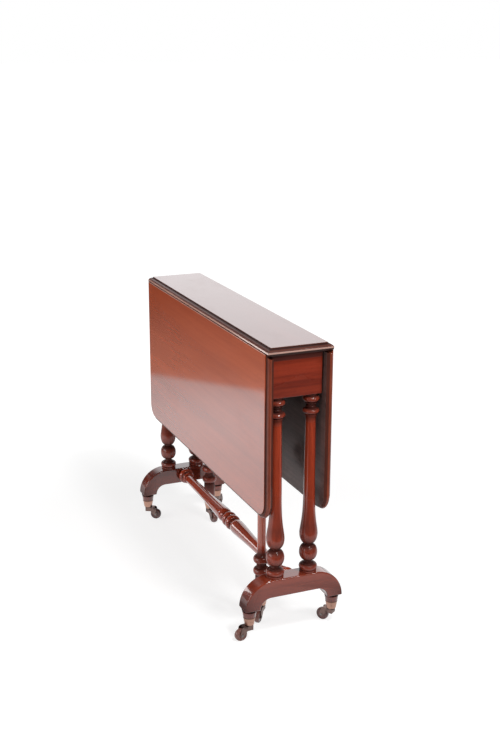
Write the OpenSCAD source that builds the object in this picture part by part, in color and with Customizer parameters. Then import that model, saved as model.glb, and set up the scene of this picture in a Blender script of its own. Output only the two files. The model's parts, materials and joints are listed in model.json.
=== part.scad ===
// A narrow Victorian drop-leaf side table: a fixed top with two rule-jointed leaves, a frieze on
// two pairs of turned columns, arched feet joined by a turned stretcher, and two gate legs that
// swing out on wooden knuckle joints to carry the leaves. It rolls on six swivel castors.
// The origin is on the floor under the middle of the top, X runs along the length and Z is up.

/* [Top and leaves] */
// Height of the top surface above the floor
top_height = 720; // [690:1:760]
// Length of the top over its moulding
top_length = 842; // [800:1:900]
// Distance from the middle line to each leaf's hinge line
hinge_line = 70.6; // [68:0.2:74]
// Thickness of the top and the leaves
board_thick = 19; // [18:0.5:22]
// Radius of the moulding, which is also the ovolo of the rule joint
mould_r = 11; // [9:0.5:12]
// Height of the small step above the moulding
quirk = 3; // [2:0.5:4]
// Height of the edge moulding from its lip up to the step
lip_rise = 7.5; // [6:0.5:9]
// Distance by which the edge is cut back below the lip
lip_return = 5.5; // [3:0.5:7]
// Width of a leaf from its hinge line to its free edge
leaf_width = 402; // [380:1:420]
// Radius of the leaf's free corners
leaf_corner = 45; // [30:1:60]
// Clearance between the ovolo of the top and the cove of the leaf
rule_gap = 0.3; // [0.2:0.1:0.6]

/* [Frieze] */
// Height of the frieze rails
frieze_height = 105; // [95:1:110]
// Width of the end rails, across the table
frieze_width = 124; // [118:1:126]
// Distance from the middle to the outer face of an end rail
frieze_reach = 400; // [395:1:405]
// Thickness of an end rail
end_rail_thick = 32; // [28:1:34]
// Thickness of the long inner rails
side_rail_thick = 18; // [16:1:18]

/* [Gates] */
// Distance from the knuckle pin to the gate leg
gate_reach = 304; // [280:1:310]
// Distance from the middle line to the fly rails and the gate legs
gate_line = 43; // [42:0.5:44]
// Thickness of a fly rail
fly_rail_thick = 20; // [18:1:20]
// Angle by which the right gate stands ajar, with its leg close to the leaf
right_gate_ajar = 2.2; // [0:0.1:2.2]
// Radius of the plain shaft of a gate leg
gate_shaft_r = 10.5; // [9:0.5:10.5]

/* [Columns and feet] */
// Distance from the middle to the columns at each end
column_x = 384; // [380:1:384]
// Distance from the middle line to each column
column_y = 43; // [40:1:45]
// Greatest radius of the turned balls and vases
turning_r = 22; // [19:0.5:22]
// Height of the top of the feet
foot_height = 150; // [145:1:155]
// Height of the underside of the arch
arch_height = 105; // [100:1:110]
// Height of the lower ends of the arch, where the turned legs begin
leg_foot_z = 78; // [70:1:84]
// Radius of the rounded shoulders of the arch
shoulder_r = 72; // [60:1:72]
// Width of the arch's legs, across the table
foot_leg = 39.5; // [32:0.5:42]
// Radius of the corners under the arch
arch_corner = 27; // [20:1:30]
// Thickness of a foot along the table
foot_thick = 42; // [40:1:44]
// Half the width of a foot, across the table
foot_reach = 127; // [124:1:130]
// Distance from the middle line to the castors of the feet
foot_castor_y = 108.6; // [106:0.2:110]
// Height of the stretcher's middle line
stretcher_z = 128.5; // [126:0.5:132]

/* [Castors] */
// Radius of a castor wheel
wheel_r = 15.5; // [14:0.5:15.5]
// Width of a castor wheel
wheel_width = 12.4; // [10:0.2:12.6]
// Distance from the swivel stem back to the axle
castor_trail = 23; // [21:0.5:25]
// Radius of the swivel stem
stem_r = 3; // [2.5:0.5:3]
// Radius of the wheel's axle
axle_r = 1.5; // [1.5:0.1:1.8]
// Directions in which the six wheels trail, in the order of castor_names
castor_turns = [-84, -144, 58, 138, -42, 10]; // [-180:1:180]

/* [Hinges] */
// Places of the three hinges along each leaf
hinge_places = [-300, 0, 300]; // [-340:1:340]
// Length of a hinge
hinge_length = 60; // [50:1:70]
// Thickness of the hinge flaps
flap_thick = 2; // [1.5:0.1:2.2]
// Radius of the hinge knuckles
knuckle_r = 3.5; // [3.2:0.1:3.6]
// Radius of the hinge pins
hinge_pin_r = 1.5; // [1.2:0.1:1.6]

/* [Hidden] */
$fn = 64;
castor_names = ["near_left", "near_right", "far_left", "far_right", "gate_left", "gate_right"];
castor_kinds = ["castor_socket_", "castor_fork_", "castor_wheel_", "castor_axle_"];
single_nodes = [
    "top_board", "leaf_left", "leaf_right", "end_rail_near", "end_rail_far",
    "side_rail_left", "side_rail_right", "knuckle_rail_left", "knuckle_rail_right",
    "fly_rail_left", "fly_rail_right", "fly_pin_left", "fly_pin_right",
    "spacer_blocks", "top_screws",
    "column_near_left", "column_near_right", "column_far_left", "column_far_right",
    "foot_near", "foot_far", "stretcher", "gate_leg_left", "gate_leg_right",
    "hinge_plates_top_left", "hinge_plates_top_right",
    "hinge_plates_leaf_left", "hinge_plates_leaf_right",
    "hinge_pins_left", "hinge_pins_right",
    "hinge_screws_top_left", "hinge_screws_top_right",
    "hinge_screws_leaf_left", "hinge_screws_leaf_right"
];

mahogany = "#6b2418";
dark_mahogany = "#4a1a12";
red_mahogany = "#8a3a24";
brass = "#b08040";
iron = "#3f3a36";
steel = "#777777";
brown_china = "#5a2a20";

// running clearance round a shaft, and the gap left between faces that move past each other
shaft_gap = 0.06;
face_gap = 0.3;

// heights of the rule joint: its axis, and the underside and top surface measured from the axis
hinge_z = top_height - quirk - mould_r;
board_up = quirk + mould_r;
board_down = board_thick - board_up;
board_bottom = hinge_z - board_down;
flat_x = top_length / 2 - mould_r;
leaf_flat = leaf_width - mould_r;
cove_r = mould_r + rule_gap;
lip_z = board_up - quirk - lip_rise;

// frieze
frieze_bottom = board_bottom - frieze_height;
rail_inner_x = frieze_reach - end_rail_thick;
side_rail_y = gate_line - fly_rail_thick / 2 - 1;
rail_tenon = 8;
lower_edge_r = 3;
block_length = 50;
block_height = 40;
block_places = [-200, 0, 200];

// wooden knuckle joint of the gates
knuckle_count = 5;
barrel_r = fly_rail_thick / 2;
fly_pin_r = 3.5;
fly_end = gate_reach + 14;
fly_top = board_bottom - 0.6;
fly_bottom = frieze_bottom + 2;
finger_height = (fly_top - fly_bottom) / knuckle_count;
last_finger = knuckle_count - 1;
leg_tenon_r = 7;
leg_tenon = 25;

// columns
column_tenon_r = 7;
column_tenon = 20;

// stretcher
stretcher_tenon_r = 8;
stretcher_tenon = 18;

// turned ends of the legs, which stand in the brass cups
leg_top_r = 18.2;
cup_top = 59;
cup_bottom = 37.4;
cup_top_r = 15;
cup_bottom_r = 11.4;
spigot_r = 11;
spigot_bottom = 49;
cup_floor = 44.5;
fork_top = 37;
plate_reach = 19;
fork_plate = 3.4;
block_bottom = 24.5;
block_back = 6.5;
block_front = 5;
cheek_in = 6.6;
cheek_thick = 2.2;
rivet_r = 4.6;

// hinge flaps, measured from the hinge axis
flap_from = 6.5;
top_flap_to = 32;
leaf_flap_from = 12;
leaf_flap_to = 45;
tongue_half = 10;
screw_head_r = 3.2;
screw_shank_r = 1.4;
screw_places = [[-20, 22], [0, 15], [20, 22]];
seat_gap = 0.2;
knuckle_room_r = 5.6;

sides = [-1, 1];

// Turned profiles: each function returns [radius, height] points from the bottom up

function bead(base, bulge, low, high, steps = 8) =
    [for (i = [0:steps]) [base + bulge * sin(180 * i / steps),
                          (low + high) / 2 - (high - low) / 2 * cos(180 * i / steps)]];

// a quarter of an ellipse that opens from a neck to the widest place of a vase
function opening(neck, widest, low, high, steps = 6) =
    [for (i = [0:steps - 1]) [neck + (widest - neck) * sin(90 * i / steps),
                              high - (high - low) * cos(90 * i / steps)]];

// the long upper part of a vase, which draws in quickly and then tapers to a slim shaft
function drawn_in(widest, slim, length, shoulder, t) =
    let (taper = 0.3 * (widest - slim))
    slim + taper * (1 - t) + (widest - slim - taper) * exp(-pow(t * length / shoulder, 1.5));

function vase(widest, slim, low, high, shoulder, steps = 14) =
    [for (i = [0:steps]) let (t = pow(i / steps, 1.5))
        [drawn_in(widest, slim, high - low, shoulder, t), low + t * (high - low)]];

module turned(outline) {
    first = outline[0];
    last = outline[len(outline) - 1];
    rotate_extrude()
        polygon(concat([[0, first[1]]], outline, [[0, last[1]]]));
}

// Places: a leaf is drawn level with its axis at the origin and turned to hang at the left,
// and everything on the right is the left one turned half round about Z

module on_side(side) {
    rotate([0, 0, side < 0 ? 0 : 180]) children();
}

module at_hinge_axis() {
    translate([0, -hinge_line, hinge_z]) mirror([0, 1, 0]) children();
}

module hanging() {
    rotate([-90, 0, 0]) children();
}

module on_gate(side) {
    on_side(side)
        translate([0, -gate_line, 0])
            rotate([0, 0, side < 0 ? 0 : -right_gate_ajar])
                children();
}

module at_castor(index) {
    if (index < 4) {
        end = index < 2 ? 1 : -1;
        side = index % 2 == 0 ? -1 : 1;
        translate([end * column_x, side * foot_castor_y, 0])
            rotate([0, 0, castor_turns[index]]) children();
    } else {
        side = index == 4 ? -1 : 1;
        gate_turn = side < 0 ? 0 : 180 - right_gate_ajar;
        on_gate(side) translate([gate_reach, 0, 0])
            rotate([0, 0, castor_turns[index] - gate_turn]) children();
    }
}

// Screws: the head's face is at height 0 and the shank goes up

module wood_screw(length, head_r = screw_head_r, shank_r = screw_shank_r, slot = true) {
    head = head_r - shank_r;
    difference() {
        union() {
            cylinder(r1 = head_r, r2 = shank_r, h = head);
            cylinder(r = shank_r, h = length - 2);
            translate([0, 0, length - 2]) cylinder(r1 = shank_r, r2 = 0.2, h = 2);
        }
        if (slot)
            translate([-head_r, -0.4, -1]) cube([2 * head_r, 0.8, 1.6]);
    }
}

module flap_screws(from, slot = true) {
    for (place = screw_places)
        translate([place[0], from + place[1], -board_down])
            wood_screw(length = 12, slot = slot);
}

module at_hinges() {
    for (x = hinge_places) translate([x, 0, 0]) children();
}

// Edge moulding: a quarter round that falls from the step to a lip, cut back below it. X runs
// out from the edge of the flat, and Y is the height above the hinge axis

module edge_section() {
    round_off = [for (a = [0:7.5:90]) [mould_r * cos(a), lip_z + lip_rise * sin(a)]];
    polygon(concat([[-1, -board_down], [mould_r - lip_return, -board_down]], round_off,
                   [[-1, lip_z + lip_rise]]));
}

// Top board

module top_across() {
    translate([0, hinge_z - board_down])
        translate([-hinge_line, 0]) square([2 * hinge_line, board_thick]);
    for (side = sides)
        intersection() {
            translate([side * hinge_line, hinge_z]) circle(r = mould_r);
            translate([-hinge_line - mould_r - 1, hinge_z - board_down])
                square([2 * (hinge_line + mould_r + 1), board_thick]);
        }
}

module top_along() {
    translate([-flat_x, hinge_z - board_down]) square([2 * flat_x, board_thick]);
    for (end = sides)
        translate([end * flat_x, hinge_z]) mirror([end < 0 ? 1 : 0, 0]) edge_section();
}

// the room in the top for one hinge: the sunk flap, the trench for the knuckle and the way
// that the leaf's flap swings through
module top_hinge_room() {
    from_x = -hinge_length / 2 - seat_gap;
    length = hinge_length + 2 * seat_gap;
    translate([from_x, -top_flap_to - seat_gap, -board_down - 1])
        cube([length, top_flap_to - flap_from + 1, flap_thick + 1]);
    translate([from_x, 0, 0]) rotate([0, 90, 0]) cylinder(r = knuckle_room_r, h = length);
    translate([from_x, -flap_from - 0.1, -board_down - 1])
        cube([length, flap_from + mould_r + 1, board_down + 1]);
}

module top_board() {
    color(mahogany)
        difference() {
            intersection() {
                rotate([90, 0, 90])
                    linear_extrude(height = top_length + 2, center = true) top_across();
                rotate([90, 0, 0])
                    linear_extrude(height = 4 * hinge_line, center = true) top_along();
            }
            for (side = sides)
                on_side(side) at_hinge_axis() at_hinges() {
                    top_hinge_room();
                    mirror([0, 1, 0]) flap_screws(0, slot = false);
                }
            for (x = block_places) at_top_screw(x) top_screw(slot = false);
        }
}

// Leaf, level: Y runs out from the hinge axis and Z is up from it

module leaf_outline(inset) {
    corner = leaf_corner - inset;
    reach = leaf_width - inset;
    half = top_length / 2 - inset;
    square_to = reach - corner;
    translate([-half, 0]) square([2 * half, square_to]);
    translate([-half + corner, 0]) square([2 * (half - corner), reach]);
    for (end = sides)
        translate([end * (half - corner), square_to]) circle(r = corner);
}

module leaf_moulding() {
    straight_x = top_length / 2 - leaf_corner;
    straight_y = leaf_width - leaf_corner;
    translate([-straight_x, leaf_flat, 0])
        rotate([90, 0, 90]) linear_extrude(height = 2 * straight_x) edge_section();
    for (end = sides) {
        translate([end * flat_x, straight_y, 0])
            rotate([90, 0, 0]) linear_extrude(height = straight_y)
                mirror([end < 0 ? 1 : 0, 0]) edge_section();
        translate([end * straight_x, straight_y, 0])
            rotate([0, 0, end < 0 ? 90 : 0])
                rotate_extrude(angle = 90) translate([leaf_corner - mould_r, 0]) edge_section();
    }
}

module leaf_hinge_room() {
    translate([-hinge_length / 2 - seat_gap, 0, -board_down - 1])
        cube([hinge_length + 2 * seat_gap, leaf_flap_to + seat_gap, flap_thick + 1]);
}

module level_leaf() {
    difference() {
        union() {
            translate([0, 0, -board_down])
                linear_extrude(height = board_thick) leaf_outline(mould_r);
            leaf_moulding();
        }
        rotate([0, 90, 0]) cylinder(r = cove_r, h = top_length + 10, center = true);
        translate([-top_length, -1, -board_thick])
            cube([2 * top_length, 1.2, 3 * board_thick]);
        at_hinges() {
            leaf_hinge_room();
            flap_screws(leaf_flap_from, slot = false);
        }
    }
}

module leaf(side) {
    color(red_mahogany)
        on_side(side) at_hinge_axis() hanging() level_leaf();
}

// Sunk hinges, drawn open flat about their own axis

module along_axis(from, to, r) {
    translate([from, 0, 0]) rotate([0, 90, 0]) cylinder(r = r, h = to - from);
}

// a knuckle with the tongue that joins it to its flap
module hinge_knuckle(from, to, out) {
    along_axis(from, to, knuckle_r);
    translate([from, 0, -board_down]) cube([to - from, out, flap_thick]);
}

module top_flap() {
    half = hinge_length / 2;
    difference() {
        union() {
            translate([-half, flap_from, -board_down])
                cube([hinge_length, top_flap_to - flap_from, flap_thick]);
            hinge_knuckle(tongue_half + seat_gap, half, flap_from + 1);
            hinge_knuckle(-half, -tongue_half - seat_gap, flap_from + 1);
        }
        along_axis(-half - 1, half + 1, hinge_pin_r);
        flap_screws(0, slot = false);
    }
}

module leaf_flap() {
    difference() {
        union() {
            translate([-hinge_length / 2, leaf_flap_from, -board_down])
                cube([hinge_length, leaf_flap_to - leaf_flap_from, flap_thick]);
            hinge_knuckle(-tongue_half, tongue_half, leaf_flap_from + 1);
        }
        along_axis(-tongue_half - 1, tongue_half + 1, hinge_pin_r + shaft_gap);
        flap_screws(leaf_flap_from, slot = false);
    }
}

module hinge_plates_top(side) {
    color(iron) on_side(side) at_hinge_axis() at_hinges() mirror([0, 1, 0]) top_flap();
}

module hinge_plates_leaf(side) {
    color(iron) on_side(side) at_hinge_axis() hanging() at_hinges() leaf_flap();
}

module hinge_pins(side) {
    color(steel) on_side(side) at_hinge_axis() at_hinges()
        rotate([0, 90, 0]) cylinder(r = hinge_pin_r, h = hinge_length, center = true);
}

module hinge_screws_top(side) {
    color(steel) on_side(side) at_hinge_axis() at_hinges() mirror([0, 1, 0]) flap_screws(0);
}

module hinge_screws_leaf(side) {
    color(steel) on_side(side) at_hinge_axis() hanging() at_hinges() flap_screws(leaf_flap_from);
}

// Frieze

module lower_rounding(length) {
    // a bar that leaves a rounded lower edge along X when it is cut from a rail's corner
    difference() {
        translate([-length / 2, -1, -1]) cube([length, lower_edge_r + 1, lower_edge_r + 1]);
        translate([-length / 2 - 1, lower_edge_r, lower_edge_r])
            rotate([0, 90, 0]) cylinder(r = lower_edge_r, h = length + 2);
    }
}

module side_rail_bar() {
    translate([0, -side_rail_y + side_rail_thick / 2, 0])
        translate([-rail_inner_x, -side_rail_thick / 2, frieze_bottom + 4])
            cube([2 * rail_inner_x, side_rail_thick, frieze_height - 4]);
    for (end = sides)
        translate([end * rail_inner_x - rail_tenon, -side_rail_y + 4, frieze_bottom + 20])
            cube([2 * rail_tenon, side_rail_thick - 8, frieze_height - 40]);
}

module end_rail(end) {
    color(red_mahogany)
        difference() {
            translate([end > 0 ? rail_inner_x : -frieze_reach, -frieze_width / 2, frieze_bottom])
                cube([end_rail_thick, frieze_width, frieze_height]);
            translate([end * frieze_reach, 0, frieze_bottom])
                rotate([0, 0, end * 90]) lower_rounding(frieze_width + 4);
            for (side = sides) {
                translate([end * column_x, side * column_y, frieze_bottom - 1])
                    cylinder(r = column_tenon_r, h = column_tenon + 1);
                on_side(side) side_rail_bar();
            }
        }
}

module side_rail(side) {
    color(dark_mahogany) on_side(side) side_rail_bar();
}

module spacer_block(x) {
    half = side_rail_y - side_rail_thick;
    translate([x - block_length / 2, -half, board_bottom - block_height])
        cube([block_length, 2 * half, block_height]);
}

module at_top_screw(x) {
    translate([x, 0, board_bottom - block_height]) children();
}

module top_screw(slot = true) {
    wood_screw(length = block_height + 12, head_r = 4.5, shank_r = 2.2, slot = slot);
}

module spacer_blocks() {
    color(dark_mahogany)
        for (x = block_places)
            difference() {
                spacer_block(x);
                at_top_screw(x) top_screw(slot = false);
            }
}

module top_screws() {
    color(steel) for (x = block_places) at_top_screw(x) top_screw();
}

// Wooden knuckle joint, drawn with its pin at the origin and the rail running along +X

module rail_plan(reach, back = 0) {
    // the body ends in a blunt point, so the two rails can fold to a right angle
    shoulder = barrel_r + face_gap;
    polygon(concat(
        [[face_gap, 0], [shoulder, -barrel_r], [reach, -barrel_r], [reach, barrel_r + back]],
        back > 0 ? [[shoulder, barrel_r + back]] : [],
        [[shoulder, barrel_r]]
    ));
}

// a cylinder round the pin at one finger's height, longer by grow at both ends
module at_finger(i, r, grow) {
    from = fly_bottom + i * finger_height - (i == 0 ? max(grow, 0) : grow);
    to = fly_bottom + (i + 1) * finger_height + (i == last_finger ? max(grow, 0) : grow);
    translate([0, 0, from]) cylinder(r = r, h = to - from);
}

module knuckled_rail(reach, first_finger, back, bore_r) {
    difference() {
        union() {
            translate([0, 0, fly_bottom])
                linear_extrude(height = fly_top - fly_bottom) rail_plan(reach, back);
            for (i = [first_finger:2:last_finger]) at_finger(i, barrel_r, -face_gap / 2);
        }
        for (i = [1 - first_finger:2:last_finger])
            at_finger(i, barrel_r + face_gap, face_gap / 2);
        translate([0, 0, fly_bottom - 1])
            cylinder(r = bore_r, h = fly_top - fly_bottom + 2);
    }
}

module knuckle_rail(side) {
    color(dark_mahogany)
        on_side(side) translate([0, -gate_line, 0]) mirror([1, 0, 0])
            knuckled_rail(rail_inner_x, 0, 1, fly_pin_r);
}

module fly_rail(side) {
    color(dark_mahogany)
        on_gate(side) difference() {
            knuckled_rail(fly_end, 1, 0, fly_pin_r + shaft_gap);
            translate([gate_reach, 0, fly_bottom - 1])
                cylinder(r = leg_tenon_r, h = leg_tenon + 1);
        }
}

module fly_pin(side) {
    color(steel)
        on_side(side) translate([0, -gate_line, fly_bottom])
            cylinder(r = fly_pin_r, h = fly_top - fly_bottom);
}

// Columns, from the foot up to the frieze

module column_turning() {
    base = foot_height;
    waist = base + 73;
    widest = base + 99;
    neck_z = frieze_bottom - 58;
    turned(concat(
        [[column_tenon_r, base - column_tenon], [column_tenon_r, base], [20, base],
         [20.6, base + 1], [20.6, base + 4], [19, base + 5]],
        bead(18, turning_r - 18, base + 6, base + 19),
        [[14.6, base + 20], [14, base + 22], [10, base + 23.5], [9.4, base + 27]],
        bead(9.2, turning_r - 9.2, base + 29.5, base + 69.5, steps = 12),
        [[9, base + 71]],
        opening(9.5, turning_r, waist, widest),
        vase(turning_r, 12, widest, neck_z, shoulder = 36),
        [[12, neck_z + 4], [14.2, neck_z + 5.5], [14.2, neck_z + 8.5], [12.6, neck_z + 9.5]],
        bead(12.6, 7.2, neck_z + 10, neck_z + 22),
        [[9.6, neck_z + 23]],
        bead(9.2, 2.4, neck_z + 23.5, neck_z + 30, steps = 6),
        [[8.4, neck_z + 31.5], [8.8, neck_z + 33.5]],
        bead(11, 3, neck_z + 34, neck_z + 38, steps = 4),
        bead(13, 6.5, neck_z + 39, neck_z + 52),
        [[13.5, neck_z + 54], [13.5, frieze_bottom], [column_tenon_r, frieze_bottom],
         [column_tenon_r, frieze_bottom + column_tenon]]
    ));
}

module column(end, side) {
    color(mahogany)
        translate([end * column_x, side * column_y, 0]) column_turning();
}

// Feet: an arch cut from a thick plank, with a turned end on each leg for the castor cup

module foot_outline() {
    inner_y = foot_reach - foot_leg;
    difference() {
        union() {
            translate([-foot_reach + shoulder_r, leg_foot_z])
                square([2 * (foot_reach - shoulder_r), foot_height - leg_foot_z]);
            for (side = sides)
                translate([side * (foot_reach - shoulder_r), foot_height - shoulder_r])
                    circle(r = shoulder_r);
        }
        translate([-foot_reach - 10, -shoulder_r]) square([2 * foot_reach + 20, leg_foot_z + shoulder_r]);
        translate([-inner_y, -1]) square([2 * inner_y, arch_height - arch_corner + 1]);
        translate([-inner_y + arch_corner, 0]) square([2 * (inner_y - arch_corner), arch_height]);
        for (side = sides)
            translate([side * (inner_y - arch_corner), arch_height - arch_corner])
                circle(r = arch_corner);
    }
}

module leg_end(from_z, from_r) {
    turned([
        [spigot_r, spigot_bottom], [spigot_r, cup_top], [cup_top_r, cup_top],
        [cup_top_r + 0.6, cup_top + 3], [from_r - 0.6, from_z - 4], [from_r, from_z - 3],
        [from_r, from_z]
    ]);
}

module foot(end) {
    color(mahogany)
        difference() {
            union() {
                translate([end * column_x, 0, 0])
                    rotate([90, 0, 90])
                        linear_extrude(height = foot_thick, center = true) foot_outline();
                for (side = sides)
                    translate([end * column_x, side * foot_castor_y, 0])
                        leg_end(leg_foot_z + 1, leg_top_r);
            }
            for (side = sides)
                translate([end * column_x, side * column_y, foot_height - column_tenon])
                    cylinder(r = column_tenon_r, h = column_tenon + 1);
            translate([end * (column_x - foot_thick / 2 - 1), 0, stretcher_z])
                rotate([0, end * 90, 0]) cylinder(r = stretcher_tenon_r, h = stretcher_tenon + 1);
        }
}

// Stretcher, drawn from the middle out and turned round for the other half

module stretcher_half() {
    reach = column_x - foot_thick / 2;
    turned(concat(
        [[12, 0]],
        bead(12, 9, 2, 22),
        [[13, 23], [11, 27]],
        opening(11, 19.5, 29, 47),
        vase(19.5, 12.6, 47, reach - 38, shoulder = 80),
        [[12, reach - 37]],
        bead(12, 4.5, reach - 36, reach - 26, steps = 6),
        [[11.6, reach - 24]],
        bead(14, 8, reach - 21, reach - 4),
        [[15, reach - 3], [15, reach], [stretcher_tenon_r, reach],
         [stretcher_tenon_r, reach + stretcher_tenon]]
    ));
}

module stretcher() {
    color(mahogany)
        translate([0, 0, stretcher_z])
            for (end = sides) rotate([0, end * 90, 0]) stretcher_half();
}

// Gate legs

module gate_leg_turning() {
    turned(concat(
        [[spigot_r, spigot_bottom], [spigot_r, cup_top], [cup_top_r, cup_top],
         [cup_top_r + 0.4, cup_top + 3], [15.4, 113], [15, 117]],
        bead(13.4, turning_r - 15, 120, 138),
        [[12.6, 140], [12.2, 144], [12.6, 149]],
        bead(13.4, turning_r - 15, 151, 169),
        [[11.4, 171], [gate_shaft_r, 176], [gate_shaft_r, fly_bottom],
         [leg_tenon_r, fly_bottom], [leg_tenon_r, fly_bottom + leg_tenon]]
    ));
}

module gate_leg(side) {
    color(mahogany) on_gate(side) translate([gate_reach, 0, 0]) gate_leg_turning();
}

// Castors, drawn with the stem on the Z axis and the wheel trailing along +X

module castor_socket(index) {
    color(brass)
        at_castor(index)
            difference() {
                turned([
                    [cup_bottom_r - 1, cup_bottom], [cup_bottom_r, cup_bottom + 1],
                    [cup_top_r - 0.7, cup_top - 4], [cup_top_r, cup_top - 3.4],
                    [cup_top_r, cup_top]
                ]);
                translate([0, 0, cup_floor]) cylinder(r = spigot_r, h = cup_top);
                cylinder(r = stem_r + shaft_gap, h = cup_top);
            }
}

module cheek_outline() {
    top = fork_top - 0.5;
    polygon([
        [-block_back, block_bottom], [-block_back, top], [plate_reach, top], [plate_reach + 5, top - 2.5],
        [castor_trail + 5, wheel_r + 2], [castor_trail - 4.2, wheel_r - 2.6], [9, block_bottom]
    ]);
    translate([castor_trail, wheel_r]) circle(r = 5);
}

module castor_fork(index) {
    half = cheek_in + cheek_thick;
    plate_z = fork_top - fork_plate;
    color(brass)
        at_castor(index)
            difference() {
                union() {
                    translate([0, 0, plate_z]) cylinder(r = half, h = fork_plate);
                    translate([0, 0, plate_z]) cylinder(r = stem_r, h = 14);
                    translate([0, 0, cup_floor + 0.3]) cylinder(r1 = rivet_r, r2 = 3.6, h = 2.6);
                    translate([-block_back, -half, block_bottom])
                        cube([block_back + block_front, 2 * half, fork_top - 0.5 - block_bottom]);
                    translate([-block_back, -half, plate_z])
                        cube([block_back + plate_reach, 2 * half, fork_plate - 0.5]);
                    for (side = sides)
                        translate([0, side * (cheek_in + cheek_thick / 2), 0])
                            rotate([90, 0, 0])
                                linear_extrude(height = cheek_thick, center = true) cheek_outline();
                }
                translate([castor_trail, 0, wheel_r])
                    rotate([90, 0, 0]) cylinder(r = axle_r, h = 30, center = true);
            }
}

module castor_wheel(index) {
    half = wheel_width / 2;
    color(brown_china)
        at_castor(index)
            translate([castor_trail, 0, wheel_r]) rotate([90, 0, 0])
                rotate_extrude()
                    polygon([
                        [axle_r + shaft_gap, -half], [5, -half], [6, -half + 1], [11, -half + 1],
                        [12.2, -half], [wheel_r - 1.6, -half + 0.6], [wheel_r - 0.4, -half + 2.4],
                        [wheel_r, -half + 4.4], [wheel_r, half - 4.4], [wheel_r - 0.4, half - 2.4],
                        [wheel_r - 1.6, half - 0.6], [12.2, half], [11, half - 1], [6, half - 1],
                        [5, half], [axle_r + shaft_gap, half]
                    ]);
}

module castor_axle(index) {
    reach = cheek_in + cheek_thick;
    color(steel)
        at_castor(index)
            translate([castor_trail, 0, wheel_r]) rotate([90, 0, 0]) {
                cylinder(r = axle_r, h = 2 * reach, center = true);
                for (end = sides)
                    translate([0, 0, end * (reach + 0.5)])
                        cylinder(r = 2.6, h = 1, center = true);
            }
}

module castor_part(kind, index) {
    if (kind == 0) castor_socket(index);
    if (kind == 1) castor_fork(index);
    if (kind == 2) castor_wheel(index);
    if (kind == 3) castor_axle(index);
}

top_board();
leaf(-1);  // leaf_left
leaf(1);  // leaf_right
end_rail(1);  // end_rail_near
end_rail(-1);  // end_rail_far
side_rail(-1);  // side_rail_left
side_rail(1);  // side_rail_right
knuckle_rail(-1);  // knuckle_rail_left
knuckle_rail(1);  // knuckle_rail_right
fly_rail(-1);  // fly_rail_left
fly_rail(1);  // fly_rail_right
fly_pin(-1);  // fly_pin_left
fly_pin(1);  // fly_pin_right
spacer_blocks();
top_screws();
column(1, -1);  // column_near_left
column(1, 1);  // column_near_right
column(-1, -1);  // column_far_left
column(-1, 1);  // column_far_right
foot(1);  // foot_near
foot(-1);  // foot_far
stretcher();
gate_leg(-1);  // gate_leg_left
gate_leg(1);  // gate_leg_right
hinge_plates_top(-1);  // hinge_plates_top_left
hinge_plates_top(1);  // hinge_plates_top_right
hinge_plates_leaf(-1);  // hinge_plates_leaf_left
hinge_plates_leaf(1);  // hinge_plates_leaf_right
hinge_pins(-1);  // hinge_pins_left
hinge_pins(1);  // hinge_pins_right
hinge_screws_top(-1);  // hinge_screws_top_left
hinge_screws_top(1);  // hinge_screws_top_right
hinge_screws_leaf(-1);  // hinge_screws_leaf_left
hinge_screws_leaf(1);  // hinge_screws_leaf_right
for (kind = [0:len(castor_kinds) - 1])
    for (index = [0:len(castor_names) - 1])
        castor_part(kind, index);
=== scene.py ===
import json
from collections import Counter
from math import cos, exp, pi, radians, sin

import bmesh
import bpy
from mathutils import Matrix, Vector


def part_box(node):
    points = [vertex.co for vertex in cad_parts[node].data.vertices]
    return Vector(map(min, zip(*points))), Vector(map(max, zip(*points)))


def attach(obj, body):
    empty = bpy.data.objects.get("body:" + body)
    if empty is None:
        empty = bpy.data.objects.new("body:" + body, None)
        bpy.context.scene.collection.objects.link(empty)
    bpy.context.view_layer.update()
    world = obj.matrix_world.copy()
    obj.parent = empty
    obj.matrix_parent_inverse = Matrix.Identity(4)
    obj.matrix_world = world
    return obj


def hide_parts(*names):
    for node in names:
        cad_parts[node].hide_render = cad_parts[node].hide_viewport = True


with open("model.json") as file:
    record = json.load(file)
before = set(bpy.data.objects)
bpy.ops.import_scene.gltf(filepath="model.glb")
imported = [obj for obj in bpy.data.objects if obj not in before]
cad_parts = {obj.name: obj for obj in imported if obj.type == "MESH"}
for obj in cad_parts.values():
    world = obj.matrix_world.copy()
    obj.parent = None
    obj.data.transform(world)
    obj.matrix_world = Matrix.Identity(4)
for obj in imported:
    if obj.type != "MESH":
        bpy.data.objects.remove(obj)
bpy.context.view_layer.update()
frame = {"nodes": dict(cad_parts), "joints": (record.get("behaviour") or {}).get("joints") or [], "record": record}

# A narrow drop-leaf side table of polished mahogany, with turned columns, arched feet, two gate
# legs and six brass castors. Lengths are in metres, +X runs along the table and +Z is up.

scene = bpy.context.scene
scene.view_settings.view_transform = "Standard"
joints = {joint["name"]: joint for joint in frame["joints"]}
SIDES = (("left", -1), ("right", 1))
ENDS = ("near", "far")
CASTORS = ("near_left", "near_right", "far_left", "far_right", "gate_left", "gate_right")


# Camera

PHOTO_WIDTH = 500
CAMERA_PLACE = Vector((2.6765, -1.0814, 1.4034))
CAMERA_YAW = radians(67.0167)
CAMERA_PITCH = radians(16.7222)
CAMERA_ROLL = radians(0.2072)
FOCAL_PIXELS = 1168.5


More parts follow.
